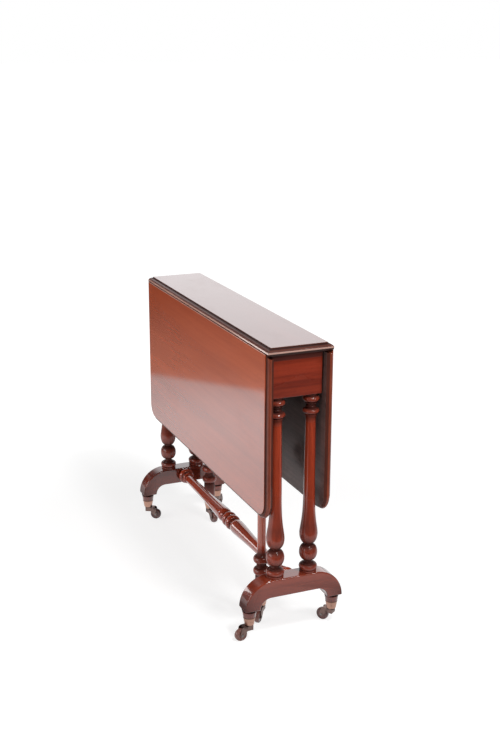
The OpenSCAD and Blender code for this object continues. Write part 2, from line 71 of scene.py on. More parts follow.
def make_camera():
    """The camera stands where the straight edges of the photographed table say it stood."""
    forward = Vector((-sin(CAMERA_YAW) * cos(CAMERA_PITCH),
                      cos(CAMERA_YAW) * cos(CAMERA_PITCH), -sin(CAMERA_PITCH)))
    level = Vector((cos(CAMERA_YAW), sin(CAMERA_YAW), 0))
    upright = level.cross(forward)
    right = level * cos(CAMERA_ROLL) + upright * sin(CAMERA_ROLL)
    up = upright * cos(CAMERA_ROLL) - level * sin(CAMERA_ROLL)
    data = bpy.data.cameras.new("camera")
    data.sensor_fit = "HORIZONTAL"
    data.sensor_width = 36
    data.lens = FOCAL_PIXELS * data.sensor_width / PHOTO_WIDTH
    camera = bpy.data.objects.new("camera", data)
    scene.collection.objects.link(camera)
    turn = Matrix((right, up, -forward)).transposed().to_4x4()
    camera.matrix_world = Matrix.Translation(CAMERA_PLACE) @ turn
    scene.camera = camera


# Node trees

class Nodes:
    """Adds nodes to a tree. A value that is a socket is linked, and any other is set."""

    def __init__(self, tree):
        self.tree = tree

    def put(self, socket, value):
        if isinstance(value, bpy.types.NodeSocket):
            self.tree.links.new(value, socket)
        else:
            socket.default_value = value

    def add(self, kind, inputs=None, **settings):
        node = self.tree.nodes.new(kind)
        for name, value in settings.items():
            setattr(node, name, value)
        for name, value in (inputs or {}).items():
            self.put(node.inputs[name], value)
        return node

    def maths(self, operation, a, b=0.0, clamp=False):
        node = self.add("ShaderNodeMath", operation=operation, use_clamp=clamp)
        self.put(node.inputs[0], a)
        self.put(node.inputs[1], b)
        return node.outputs[0]

    def mix(self, factor, a, b, blend="MIX"):
        """Mixes two colours."""
        node = self.add("ShaderNodeMix", data_type="RGBA", blend_type=blend, clamp_factor=True)
        self.put(node.inputs[0], factor)
        self.put(node.inputs[6], a)
        self.put(node.inputs[7], b)
        return node.outputs[2]

    def between(self, value, low, high, to_low=0.0, to_high=1.0):
        """Maps a value from one range to another, smoothly and without leaving it."""
        node = self.add("ShaderNodeMapRange", interpolation_type="SMOOTHSTEP")
        for socket, number in zip(("Value", "From Min", "From Max", "To Min", "To Max"),
                                  (value, low, high, to_low, to_high)):
            self.put(node.inputs[socket], number)
        return node.outputs["Result"]

    def noise(self, vector, stretch, detail=3.0, roughness=0.5):
        """Noise whose cells per metre along X, Y and Z are given by stretch."""
        scaled = self.add("ShaderNodeVectorMath", operation="MULTIPLY")
        self.put(scaled.inputs[0], vector)
        self.put(scaled.inputs[1], stretch)
        made = self.add("ShaderNodeTexNoise", {
            "Vector": scaled.outputs[0], "Scale": 1.0, "Detail": detail, "Roughness": roughness})
        return made.outputs["Fac"]


def new_group(name, inputs, outputs):
    """A shader node group with named inputs and outputs."""
    tree = bpy.data.node_groups.new(name, "ShaderNodeTree")
    for label, kind, value in inputs:
        socket = tree.interface.new_socket(label, in_out="INPUT", socket_type=kind)
        if value is not None:
            socket.default_value = value
    for label, kind in outputs:
        tree.interface.new_socket(label, in_out="OUTPUT", socket_type=kind)
    return tree, Nodes(tree), tree.nodes.new("NodeGroupInput"), tree.nodes.new("NodeGroupOutput")


VECTOR, COLOUR, FLOAT = "NodeSocketVector", "NodeSocketColor", "NodeSocketFloat"
PORE_BROWN = (0.035, 0.009, 0.006, 1)


def figure_group():
    """Mahogany figure along the X of its vector: wide bands, fine streaks and short dark pores."""
    tree, nodes, given, out = new_group(
        "Mahogany figure",
        [("Vector", VECTOR, None), ("Light", COLOUR, (0.36, 0.07, 0.03, 1)),
         ("Dark", COLOUR, (0.18, 0.03, 0.015, 1)), ("Bands", FLOAT, 0.6),
         ("Streaks", FLOAT, 0.4), ("Pores", FLOAT, 0.4)],
        [("Color", COLOUR), ("Height", FLOAT)])
    where = given.outputs["Vector"]
    wander = nodes.noise(where, (1.6, 5, 5), detail=2)
    bent = nodes.add("ShaderNodeVectorMath", operation="MULTIPLY_ADD")
    nodes.put(bent.inputs[0], wander)
    nodes.put(bent.inputs[1], (0, 0.022, 0.022))
    nodes.put(bent.inputs[2], where)
    grain = bent.outputs[0]
    bands = nodes.between(nodes.noise(grain, (1.1, 17, 17), detail=3), 0.3, 0.72)
    streaks = nodes.between(nodes.noise(grain, (5, 120, 120), detail=4, roughness=0.6), 0.32, 0.7)
    pores = nodes.between(nodes.noise(grain, (70, 1300, 1300), detail=1), 0.6, 0.68)
    shade = nodes.maths("ADD", nodes.maths("MULTIPLY", bands, given.outputs["Bands"]),
                        nodes.maths("MULTIPLY", streaks, given.outputs["Streaks"]), clamp=True)
    wood = nodes.mix(shade, given.outputs["Light"], given.outputs["Dark"])
    dark_pores = nodes.maths("MULTIPLY", pores, given.outputs["Pores"])
    nodes.put(out.inputs["Color"], nodes.mix(dark_pores, wood, PORE_BROWN))
    relief = nodes.maths("SUBTRACT", nodes.maths("MULTIPLY", streaks, 0.25), dark_pores)
    nodes.put(out.inputs["Height"], relief)
    return tree


def handling_group():
    """Where hands and cloths have dulled a polish: cloudy smears and a few fine scratches."""
    tree, nodes, given, out = new_group(
        "Handling marks",
        [("Vector", VECTOR, None), ("Polished", FLOAT, 0.2), ("Dulled", FLOAT, 0.35),
         ("Scratches", FLOAT, 0.1)],
        [("Roughness", FLOAT), ("Mask", FLOAT)])
    where = given.outputs["Vector"]
    smears = nodes.between(nodes.noise(where, (7, 11, 9), detail=5, roughness=0.62), 0.42, 0.72)
    slanted = nodes.add("ShaderNodeVectorRotate", {"Vector": where, "Angle": 0.5},
                        rotation_type="X_AXIS")
    hairs = nodes.between(nodes.noise(slanted.outputs[0], (900, 9, 900), detail=1), 0.7, 0.76)
    marks = nodes.maths("MULTIPLY", hairs, given.outputs["Scratches"])
    mask = nodes.maths("ADD", smears, marks, clamp=True)
    rough = nodes.between(mask, 0.0, 1.0, given.outputs["Polished"], given.outputs["Dulled"])
    nodes.put(out.inputs["Roughness"], rough)
    nodes.put(out.inputs["Mask"], mask)
    return tree


def tarnish_group():
    """Aged metal: clean metal that darkens in patches."""
    tree, nodes, given, out = new_group(
        "Tarnish",
        [("Vector", VECTOR, None), ("Clean", COLOUR, (0.7, 0.45, 0.2, 1)),
         ("Dull", COLOUR, (0.16, 0.08, 0.04, 1)), ("Amount", FLOAT, 0.5)],
        [("Color", COLOUR), ("Mask", FLOAT)])
    where = given.outputs["Vector"]
    cloud = nodes.noise(where, (90, 90, 90), detail=5, roughness=0.65)
    specks = nodes.noise(where, (700, 700, 700), detail=2)
    both = nodes.maths("ADD", nodes.maths("MULTIPLY", cloud, 0.75),
                       nodes.maths("MULTIPLY", specks, 0.25))
    threshold = nodes.maths("SUBTRACT", 0.72,
                            nodes.maths("MULTIPLY", given.outputs["Amount"], 0.4))
    high = nodes.maths("ADD", threshold, 0.2)
    mask = nodes.between(both, threshold, high)
    nodes.put(out.inputs["Color"], nodes.mix(mask, given.outputs["Clean"], given.outputs["Dull"]))
    nodes.put(out.inputs["Mask"], mask)
    return tree


figure = figure_group()
handling = handling_group()
tarnish = tarnish_group()


# Materials

CUP_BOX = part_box("castor_socket_near_left")
CUP_TOP = CUP_BOX[1].z
CUP_TOP_R = (CUP_BOX[1].x - CUP_BOX[0].x) / 2
GRAIN_TURN = {"X": (0, 0, 0), "Y": (0, 0, -pi / 2), "Z": (0, pi / 2, 0)}


def new_material(name):
    """A node material, its shader and the piece's own coordinates."""
    material = bpy.data.materials.new(name)
    material.use_nodes = True
    nodes = Nodes(material.node_tree)
    shader = next(n for n in material.node_tree.nodes if n.type == "BSDF_PRINCIPLED")
    place = nodes.add("ShaderNodeTexCoord").outputs["Object"]
    return material, nodes, shader, place


# Painted shade: a near-black brown laid where shade falls, in hollows, corners and under lips.
PAINTED_SHADE = (0.020, 0.007, 0.006, 1)
GRIME = (0.02, 0.014, 0.011, 1)
CUP_SHADE = (0.07, 0.03, 0.022, 1)
PAINTED_SHADE_COVER = 0.85
# Painted highlight: a pale pink laid on edges that catch the light, and on the gate-leg shaft as a painted
# reflection.
PAINTED_HIGHLIGHT = (0.62, 0.37, 0.30, 1)


def shade_and_highlight_masks(nodes, depth):
    """Where painted shade goes and where a painted highlight goes, from the piece's own
    attribute, which runs from 1 for painted shade in a hollow to -1 for a painted highlight on an edge."""
    age = nodes.add("ShaderNodeAttribute", attribute_name="age").outputs["Fac"]
    return (nodes.maths("MULTIPLY", age, depth, clamp=True),
            nodes.maths("MULTIPLY", age, -1.0, clamp=True))


def use(nodes, tree, **inputs):
    """Places a group in a material with its own values."""
    node = nodes.add("ShaderNodeGroup", node_tree=tree)
    for name, value in inputs.items():
        nodes.put(node.inputs[name], value)
    return node


def along_grain(nodes, place, axis):
    """Coordinates turned so that their X runs along the grain."""
    mapping = nodes.add("ShaderNodeMapping", {"Vector": place, "Rotation": GRAIN_TURN[axis]})
    return mapping.outputs["Vector"]


def polished_wood(name, axis, light, dark, bands, streaks, pores):
    """French-polished mahogany with its grain along one axis, painted shade in its hollows and a
    painted highlight on its edges.
    """
    material, nodes, shader, place = new_material(name)
    grain = along_grain(nodes, place, axis)
    wood = use(nodes, figure, Vector=grain, Light=light, Dark=dark, Bands=bands,
               Streaks=streaks, Pores=pores)
    marks = use(nodes, handling, Vector=grain, Polished=0.15, Dulled=0.24, Scratches=0.12)
    shaded, highlighted = shade_and_highlight_masks(nodes, PAINTED_SHADE_COVER)
    # A painted highlight on edges, then painted shade in hollows.
    painted_pale = nodes.mix(highlighted, wood.outputs["Color"], PAINTED_HIGHLIGHT)
    nodes.put(shader.inputs["Base Color"], nodes.mix(shaded, painted_pale, PAINTED_SHADE))
    nodes.put(shader.inputs["Roughness"], nodes.maths(
        "ADD", marks.outputs["Roughness"], nodes.maths("MULTIPLY", shaded, 0.7), clamp=True))
    kept = nodes.maths("SUBTRACT", 1.0, nodes.maths("MULTIPLY", highlighted, 0.7), clamp=True)
    nodes.put(shader.inputs["Coat Weight"], nodes.maths("SUBTRACT", kept, shaded, clamp=True))
    bump = nodes.add("ShaderNodeBump", {"Height": wood.outputs["Height"], "Strength": 0.03,
                                        "Distance": 0.0002})
    nodes.put(shader.inputs["Normal"], bump.outputs["Normal"])
    shader.inputs["IOR"].default_value = 1.5
    shader.inputs["Specular IOR Level"].default_value = 0.25
    shader.inputs["Coat Roughness"].default_value = 0.035
    shader.inputs["Coat IOR"].default_value = 1.65
    return material


def plain_wood(name, axis, light, dark):
    """Planed and stained wood that was never polished."""
    material, nodes, shader, place = new_material(name)
    grain = along_grain(nodes, place, axis)
    wood = use(nodes, figure, Vector=grain, Light=light, Dark=dark,
               Bands=0.5, Streaks=0.6, Pores=0.6)
    dirt = use(nodes, handling, Vector=grain, Polished=0.45, Dulled=0.75, Scratches=0.3)
    grimy = nodes.maths("MULTIPLY", dirt.outputs["Mask"], 0.35)
    nodes.put(shader.inputs["Base Color"],
              nodes.mix(grimy, wood.outputs["Color"], GRIME))
    nodes.put(shader.inputs["Roughness"], dirt.outputs["Roughness"])
    bump = nodes.add("ShaderNodeBump", {"Height": wood.outputs["Height"], "Strength": 0.35,
                                        "Distance": 0.0005})
    nodes.put(shader.inputs["Normal"], bump.outputs["Normal"])
    return material


def aged_metal(name, clean, dull, amount, polished, dulled):
    """Metal that has gone dark in patches."""
    material, nodes, shader, place = new_material(name)
    skin = use(nodes, tarnish, Vector=place, Clean=clean, Dull=dull, Amount=amount)
    nodes.put(shader.inputs["Base Color"], skin.outputs["Color"])
    nodes.put(shader.inputs["Roughness"],
              nodes.between(skin.outputs["Mask"], 0.0, 1.0, polished, dulled))
    bump = nodes.add("ShaderNodeBump", {"Height": skin.outputs["Mask"], "Strength": 0.2,
                                        "Distance": 0.0002})
    nodes.put(shader.inputs["Normal"], bump.outputs["Normal"])
    shader.inputs["Metallic"].default_value = 1.0
    return material


def cup_brass():
    """The cups' coppery brass, rubbed bright on its round side, with painted shade under the rim."""
    material, nodes, shader, place = new_material("cup brass")
    skin = use(nodes, tarnish, Vector=place, Clean=(0.54, 0.30, 0.225, 1),
               Dull=(0.19, 0.10, 0.082, 1), Amount=0.45)
    height = nodes.add("ShaderNodeSeparateXYZ", {"Vector": place}).outputs["Z"]
    # Painted shade along the top of the cup, just under its rim.
    rim = nodes.between(height, CUP_TOP - 0.004, CUP_TOP - 0.001)
    shaded_rim = nodes.maths("MULTIPLY", rim, 0.8)
    nodes.put(shader.inputs["Base Color"],
              nodes.mix(shaded_rim, skin.outputs["Color"], CUP_SHADE))
    nodes.put(shader.inputs["Roughness"], nodes.between(skin.outputs["Mask"], 0.0, 1.0, 0.33, 0.5))
    shader.inputs["Metallic"].default_value = 1.0
    return material


def glazed_china():
    """Brown glazed china, worn paler and duller in patches."""
    material, nodes, shader, place = new_material("brown china")
    marks = use(nodes, handling, Vector=place, Polished=0.3, Dulled=0.6, Scratches=0.5)
    nodes.put(shader.inputs["Base Color"],
              nodes.mix(marks.outputs["Mask"], (0.115, 0.034, 0.026, 1), (0.25, 0.10, 0.078, 1)))
    nodes.put(shader.inputs["Roughness"], marks.outputs["Roughness"])
    shader.inputs["Coat Weight"].default_value = 0.6
    shader.inputs["Coat Roughness"].default_value = 0.15
    return material


LEAF_WOOD = {"light": (0.52, 0.094, 0.033, 1), "dark": (0.31, 0.047, 0.017, 1)}
TOP_WOOD = {"light": (0.22, 0.048, 0.021, 1), "dark": (0.12, 0.023, 0.011, 1)}
FRIEZE_WOOD = {"light": (0.41, 0.051, 0.021, 1), "dark": (0.19, 0.023, 0.012, 1)}
TURNED_WOOD = {"light": (0.54, 0.070, 0.024, 1), "dark": (0.23, 0.027, 0.011, 1)}
FOOT_WOOD = {"light": (0.28, 0.042, 0.017, 1), "dark": (0.12, 0.016, 0.008, 1)}

leaf_polish = polished_wood("leaf mahogany", "X", **LEAF_WOOD, bands=0.6, streaks=0.16, pores=0.12)
top_polish = polished_wood("top mahogany", "X", **TOP_WOOD, bands=0.5, streaks=0.2, pores=0.15)
frieze_polish = polished_wood("frieze mahogany", "Y", **FRIEZE_WOOD,
                              bands=0.45, streaks=0.5, pores=0.3)
foot_polish = polished_wood("foot mahogany", "Y", **FOOT_WOOD, bands=0.6, streaks=0.3, pores=0.2)
column_polish = polished_wood("column mahogany", "Z", **TURNED_WOOD,
                              bands=0.5, streaks=0.35, pores=0.2)
stretcher_polish = polished_wood("stretcher mahogany", "X", **TURNED_WOOD,
                                 bands=0.5, streaks=0.35, pores=0.2)
leaf_back = plain_wood("leaf back", "X", (0.20, 0.118, 0.105, 1), (0.12, 0.072, 0.064, 1))
rail_wood = plain_wood("rail wood", "X", (0.16, 0.060, 0.030, 1), (0.075, 0.030, 0.018, 1))
hinge_iron = aged_metal("hinge iron", (0.22, 0.20, 0.19, 1), (0.08, 0.055, 0.045, 1),
                        amount=0.6, polished=0.45, dulled=0.65)
screw_steel = aged_metal("screw steel", (0.24, 0.22, 0.21, 1), (0.09, 0.07, 0.062, 1),
                         amount=0.5, polished=0.4, dulled=0.6)
fork_brass = aged_metal("fork brass", (0.24, 0.155, 0.135, 1), (0.085, 0.058, 0.053, 1),
                        amount=0.7, polished=0.36, dulled=0.55)
cup_metal = cup_brass()
china = glazed_china()


# Floor, world and lamps

FLOOR_HALF = 40
PAPER_EDGE = (Vector((-1.796, -0.530)), Vector((-1.401, -0.870)))
PAPER_FRONT = 0.80
PAPER_FRONT_SOFT = 0.12
PAPER_LEFT_SOFT = 0.05
PAPER_FADE = (-1.9, -0.95)
PAPER_LEVELS = (0.70, 1.22)
PAPER_FRONT_FADE = (0.2, 0.7)
PAPER_FRONT_LOSS = 0.25
PAPER_SHADED = (-0.75, -0.28)
PAPER_SHADED_LEVEL = 0.76
FOOT_SHADOW = (0.24, -0.33, 0)
FOOT_SHADOW_REACH = (0.12, 0.23)
FOOT_SHADOW_LEVEL = 0.25
ROOM_FLOOR_REACH = 1.5
SHADOW_REACH = (0.6, 1.6)
SHADOW_LEVELS = (0.76, 1.02)
PAPER_WHITE = (0.94, 0.965, 0.98, 1)
PAPER_MATT = (0.90, 0.88, 0.87, 1)
BOARDS_FAR = (0.035, 0.026, 0.025, 1)
BOARDS_NEAR = (0.74, 0.36, 0.27, 1)
SHADOW_GREY = (0.42, 0.42, 0.42, 1)
WHITE = (1, 1, 1, 1)


def paper_masks(nodes, place, x):
    """The white paper round the table, 1 on it and 0 on the boards past its front and left edges,
    and how near to its left edge the boards lie."""
    along = PAPER_EDGE[1] - PAPER_EDGE[0]
    inward = Vector((-along.y, along.x)).normalized()
    reach = nodes.add("ShaderNodeVectorMath", operation="DOT_PRODUCT")
    nodes.put(reach.inputs[0], place)
    nodes.put(reach.inputs[1], (inward.x, inward.y, 0))
    edge = inward.dot(PAPER_EDGE[0])
    left = nodes.between(reach.outputs["Value"], edge - PAPER_LEFT_SOFT, edge + PAPER_LEFT_SOFT)
    beside = nodes.between(reach.outputs["Value"], edge - ROOM_FLOOR_REACH, edge)
    front = nodes.between(x, PAPER_FRONT, PAPER_FRONT + PAPER_FRONT_SOFT, 1.0, 0.0)
    return nodes.maths("MULTIPLY", left, front), nodes.maths("MULTIPLY", beside, front)


def paper_level(nodes, place, x, y):
    """How bright the paper is in the polish: dimmer far off, in front, beside the table and in
    the near foot's own shadow."""
    level = nodes.maths("SUBTRACT", nodes.between(x, *PAPER_FADE, *PAPER_LEVELS),
                        nodes.between(x, *PAPER_FRONT_FADE, 0.0, PAPER_FRONT_LOSS))
    level = nodes.maths("MULTIPLY", level,
                        nodes.between(y, *PAPER_SHADED, 1.0, PAPER_SHADED_LEVEL))
    way_off = nodes.add("ShaderNodeVectorMath", operation="DISTANCE")
    nodes.put(way_off.inputs[0], place)
    nodes.put(way_off.inputs[1], FOOT_SHADOW)
    return nodes.maths("MULTIPLY", level, nodes.between(
        way_off.outputs["Value"], *FOOT_SHADOW_REACH, FOOT_SHADOW_LEVEL, 1.0))


def make_floor():
    """A pale floor, white to the camera but for the table's soft shadow. In the polish the white
    paper shows as far as it lay, and the darker room past it."""
    half = FLOOR_HALF
    mesh = bpy.data.meshes.new("floor")
    mesh.from_pydata([(-half, -half, 0), (half, -half, 0), (half, half, 0), (-half, half, 0)],
                     [], [(0, 1, 2, 3)])
    floor = bpy.data.objects.new("floor", mesh)
    scene.collection.objects.link(floor)
    material = bpy.data.materials.new("paper")
    material.use_nodes = True
    material.node_tree.nodes.clear()
    nodes = Nodes(material.node_tree)
    place = nodes.add("ShaderNodeTexCoord").outputs["Object"]
    path = nodes.add("ShaderNodeLightPath")
    mirrored = nodes.maths("MAXIMUM", path.outputs["Is Glossy Ray"],
                           path.outputs["Is Transmission Ray"])
    apart = nodes.add("ShaderNodeSeparateXYZ", {"Vector": place})
    x, y = apart.outputs["X"], apart.outputs["Y"]
    paper, beside = paper_masks(nodes, place, x)
    boards = nodes.mix(beside, BOARDS_FAR, BOARDS_NEAR)
    glow = nodes.add("ShaderNodeEmission", {"Color": nodes.mix(paper, boards, PAPER_WHITE),
                                            "Strength": paper_level(nodes, place, x, y)})
    matt = nodes.add("ShaderNodeBsdfDiffuse", {"Color": PAPER_MATT})
    indirect = nodes.add("ShaderNodeMixShader", {"Fac": mirrored})
    nodes.put(indirect.inputs[1], matt.outputs[0])
    nodes.put(indirect.inputs[2], glow.outputs[0])
    away = nodes.add("ShaderNodeVectorMath", {"Vector": place}, operation="LENGTH").outputs["Value"]
    white = nodes.add("ShaderNodeEmission", {
        "Color": WHITE, "Strength": nodes.between(away, *SHADOW_REACH, *SHADOW_LEVELS)})
    shadow = nodes.add("ShaderNodeBsdfDiffuse", {"Color": SHADOW_GREY})
    direct = nodes.add("ShaderNodeAddShader")
    nodes.put(direct.inputs[0], white.outputs[0])
    nodes.put(direct.inputs[1], shadow.outputs[0])
    shown = nodes.add("ShaderNodeMixShader", {"Fac": path.outputs["Is Camera Ray"]})
    nodes.put(shown.inputs[1], indirect.outputs[0])
    nodes.put(shown.inputs[2], direct.outputs[0])
    end = nodes.add("ShaderNodeOutputMaterial")
    nodes.put(end.inputs["Surface"], shown.outputs[0])
    mesh.materials.append(material)


BACKDROP_WAY = (-0.92, 0.39, 0.0)
BACKDROP_EDGE = (0.72, 0.86)
BACKDROP_WHITE = (1.28, 1.25, 1.27, 1)
ROOM_DARK = (0.03, 0.026, 0.028, 1)
ROOM_PALE = (0.42, 0.41, 0.42, 1)
FILL = 0.16


def make_world():
    """White to the camera, an even fill for the wood, and in the polish a white backdrop behind
    the table in a darker room."""
    world = bpy.data.worlds.new("studio")
    world.use_nodes = True
    world.node_tree.nodes.clear()
    scene.world = world
    nodes = Nodes(world.node_tree)
    path = nodes.add("ShaderNodeLightPath")
    way = nodes.add("ShaderNodeTexCoord").outputs["Generated"]
    facing = nodes.add("ShaderNodeVectorMath", operation="DOT_PRODUCT")
    nodes.put(facing.inputs[0], way)
    nodes.put(facing.inputs[1], BACKDROP_WAY)
    backdrop = nodes.between(facing.outputs["Value"], *BACKDROP_EDGE)
    mirrored = nodes.maths("MAXIMUM", path.outputs["Is Glossy Ray"],
                           path.outputs["Is Transmission Ray"])
    clutter = nodes.between(nodes.noise(way, (2.6, 2.6, 4.5), detail=3, roughness=0.6), 0.47, 0.7)
    room = nodes.mix(backdrop, nodes.mix(clutter, ROOM_DARK, ROOM_PALE), BACKDROP_WHITE)
    indirect = nodes.mix(mirrored, (FILL, FILL * 0.98, FILL * 0.96, 1), room)
    seen = nodes.mix(path.outputs["Is Camera Ray"], indirect, WHITE)
    light = nodes.add("ShaderNodeBackground", {"Color": seen, "Strength": 1.0})
    end = nodes.add("ShaderNodeOutputWorld")
    nodes.put(end.inputs["Surface"], light.outputs[0])


def softbox(name, place, aim, width, height, level):
    """A soft rectangular lamp; level is how brightly it lights a white card at its aim."""
    place, aim = Vector(place), Vector(aim)
    data = bpy.data.lights.new(name, "AREA")
    data.shape = "RECTANGLE"
    data.size = width
    data.size_y = height
    data.energy = level * pi ** 2 * (aim - place).length_squared
    lamp = bpy.data.objects.new(name, data)
    scene.collection.objects.link(lamp)
    turn = (aim - place).to_track_quat("-Z", "Y").to_matrix().to_4x4()
    lamp.matrix_world = Matrix.Translation(place) @ turn


def make_lamps():
    """Softboxes overhead, at the near end, on the left and at the far end."""
    softbox("overhead softbox", (1.6, 0.35, 2.9), (0.2, 0, 0.4), 0.45, 0.45, 0.44)
    softbox("end softbox", (2.6, 0.75, 1.9), (0.35, 0, 0.4), 1.4, 0.2, 0.32)
    softbox("left softbox", (0.1, -3.0, 1.05), (0.1, 0, 0.45), 2.7, 1.3, 0.42)
    softbox("far softbox", (-2.05, -1.45, 0.6), (0.2, 0, 0.3), 0.4, 0.7, 0.048)


# Meshes

def new_object(name, mesh):
    """A named object that holds the mesh or curve."""
    made = bpy.data.objects.new(name, mesh)
    scene.collection.objects.link(made)
    return made


def plain_result(host):
    """What a piece's modifiers make of it, as a plain mesh."""
    bpy.context.view_layer.update()
    made = host.evaluated_get(bpy.context.evaluated_depsgraph_get())
    return bpy.data.meshes.new_from_object(made)


SHARP = radians(32)
ARRIS = radians(45)
FLAT = radians(0.6)
JOIN = 2e-6
THIN = 1e-6


def shade_smooth(mesh):
    """Smooth shading with the hard edges kept, faces outward."""
    work = bmesh.new()
    work.from_mesh(mesh)
    bmesh.ops.recalc_face_normals(work, faces=work.faces)
    for face in work.faces:
        face.smooth = True
    for edge in work.edges:
        edge.smooth = len(edge.link_faces) == 2 and edge.calc_face_angle() < SHARP
    work.to_mesh(mesh)
    work.free()


def merged_copy(node):
    """The CAD node's surface as one joined mesh. Where two of its solids touch, their shared wall
    is left out."""
    source = frame["nodes"][node].data
    mesh = bpy.data.meshes.new(node)
    corners = [tuple(round(c, 6) for c in vertex.co) for vertex in source.vertices]
    faces = [p.vertices[:] for p in source.polygons]
    outlines = [frozenset(corners[i] for i in face) for face in faces]
    met = Counter(outlines)
    mesh.from_pydata([vertex.co[:] for vertex in source.vertices], [],
                     [face for face, outline in zip(faces, outlines) if met[outline] == 1])
    work = bmesh.new()
    work.from_mesh(mesh)
    bmesh.ops.remove_doubles(work, verts=work.verts, dist=JOIN)
    bmesh.ops.dissolve_degenerate(work, edges=work.edges, dist=THIN)
    work.to_mesh(mesh)
    work.free()
    return mesh


def soften(mesh, width, chosen):
    """Rounds the outward edges that chosen picks, as a scraper and years of polishing do."""
    work = bmesh.new()
    work.from_mesh(mesh)
    bmesh.ops.recalc_face_normals(work, faces=work.faces)
    bmesh.ops.dissolve_limit(work, angle_limit=FLAT, verts=work.verts, edges=work.edges)
    edges = [e for e in work.edges if len(e.link_faces) == 2
             and e.calc_face_angle_signed() > ARRIS and all(chosen(v.co) for v in e.verts)]
    bmesh.ops.bevel(work, geom=edges, offset=width, offset_type="OFFSET", segments=3, profile=0.5,
                    affect="EDGES", clamp_overlap=False)
    work.to_mesh(mesh)
    work.free()


def flat_faces_true(mesh):
    """Lets the wide flat faces keep their true direction where they meet a rounded edge."""
    host = new_object("weighing", mesh)
    modifier = host.modifiers.new("Weighted normals", "WEIGHTED_NORMAL")
    modifier.mode = "FACE_AREA"
    modifier.weight = 100
    modifier.keep_sharp = True
    weighed = plain_result(host)
    bpy.data.objects.remove(host)
    weighed.name = mesh.name
    return weighed


def mark_shade_and_highlight(mesh, shade_and_highlight_at):
    """Writes each point's painted shade or highlight, from 1 for painted shade deep in a hollow
    to -1 for a painted highlight on an edge.
    """
    values = mesh.attributes.new("age", "FLOAT", "POINT")
    for point, vertex in zip(values.data, mesh.vertices):
        point.value = max(-1.0, min(1.0, shade_and_highlight_at(vertex.co)))


def cut_across(mesh, cuts):
    """Adds rows of points across the Y or Z axis, so that a mark can end between the corners."""
    work = bmesh.new()
    work.from_mesh(mesh)
    for axis, at in cuts:
        across = Vector((0, axis == "Y", axis == "Z"))
        bmesh.ops.bisect_plane(work, geom=work.verts[:] + work.edges[:] + work.faces[:],
                               plane_co=across * at, plane_no=across)
    work.to_mesh(mesh)
    work.free()


def dress(node, material, body, slot, soft=(), age=None, cuts=(), reshape=None):
    """Stands a smoothly shaded piece in for a CAD node of the same shape. soft holds pairs of a
    width and the edges that it rounds."""
    mesh = merged_copy(node)
    for width, chosen in soft:
        soften(mesh, width, chosen)
    if cuts:
        cut_across(mesh, cuts)
    if reshape:
        for vertex in mesh.vertices:
            vertex.co = reshape(vertex.co.copy())
    shade_smooth(mesh)
    if soft:
        mesh = flat_faces_true(mesh)
    if age:
        mark_shade_and_highlight(mesh, age)
    mesh.materials.append(material)
    piece = new_object(f"{node}.finish", mesh)
    return settle(piece, body, slot, node)


def settle(piece, body, slot, *nodes):
    """The piece rides its body and stands for the CAD nodes."""
    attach(piece, body)
    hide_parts(*nodes)
    return piece


def body_of(node):
    """The rigid body that a CAD node belongs to."""
    bodies = frame["record"]["behaviour"]["bodies"]
    return next(name for name, members in bodies.items() if node in members)


# Turned work

LATHE_CORE = 0.00002


def new_geometry_tree(name, inputs):
    """A Geometry Nodes tree with named inputs."""
    tree = bpy.data.node_groups.new(name, "GeometryNodeTree")
    for label, kind in inputs:
        tree.interface.new_socket(label, in_out="INPUT", socket_type=kind)
    tree.interface.new_socket("Geometry", in_out="OUTPUT", socket_type="NodeSocketGeometry")
    return tree, Nodes(tree), tree.nodes.new("NodeGroupInput")


def finish_tree(nodes, geometry, finish):
    """Ends a tree in real geometry with its finish on it."""
    real = nodes.add("GeometryNodeRealizeInstances", {"Geometry": geometry})
    finished = nodes.add("GeometryNodeSetMaterial", {"Geometry": real.outputs["Geometry"],
                                                     "Material": finish})
    out = nodes.tree.nodes.new("NodeGroupOutput")
    nodes.put(out.inputs["Geometry"], finished.outputs["Geometry"])
    return nodes.tree


def lathe_tree():
    """Sweeps a profile, drawn as radius and height, round a circle."""
    tree, nodes, given = new_geometry_tree("Lathe", (
        ("Profile", "NodeSocketObject"), ("Segments", "NodeSocketInt"),
        ("Finish", "NodeSocketMaterial")))
    drawn = nodes.add("GeometryNodeObjectInfo", {"Object": given.outputs["Profile"]})
    circle = nodes.add("GeometryNodeCurvePrimitiveCircle", {"Resolution": given.outputs["Segments"],
                                                            "Radius": LATHE_CORE})
    swept = nodes.add("GeometryNodeCurveToMesh", {"Curve": circle.outputs["Curve"],
                                                  "Profile Curve": drawn.outputs["Geometry"]})
    welded = nodes.add("GeometryNodeMergeByDistance", {"Geometry": swept.outputs["Mesh"],
                                                       "Distance": 3 * LATHE_CORE})
    return finish_tree(nodes, welded.outputs["Geometry"], given.outputs["Finish"])


def grow(host, tree, **inputs):
    """Gives the host a tree with its inputs set, and returns what it makes as a plain mesh."""
    modifier = host.modifiers.new(tree.name, "NODES")
    modifier.node_group = tree
    sockets = {s.name: s.identifier for s in tree.interface.items_tree if s.in_out == "INPUT"}
    for label, value in inputs.items():
        modifier[sockets[label.replace("_", " ")]] = value
    mesh = plain_result(host)
    bpy.data.objects.remove(host)
    return mesh


lathe = lathe_tree()


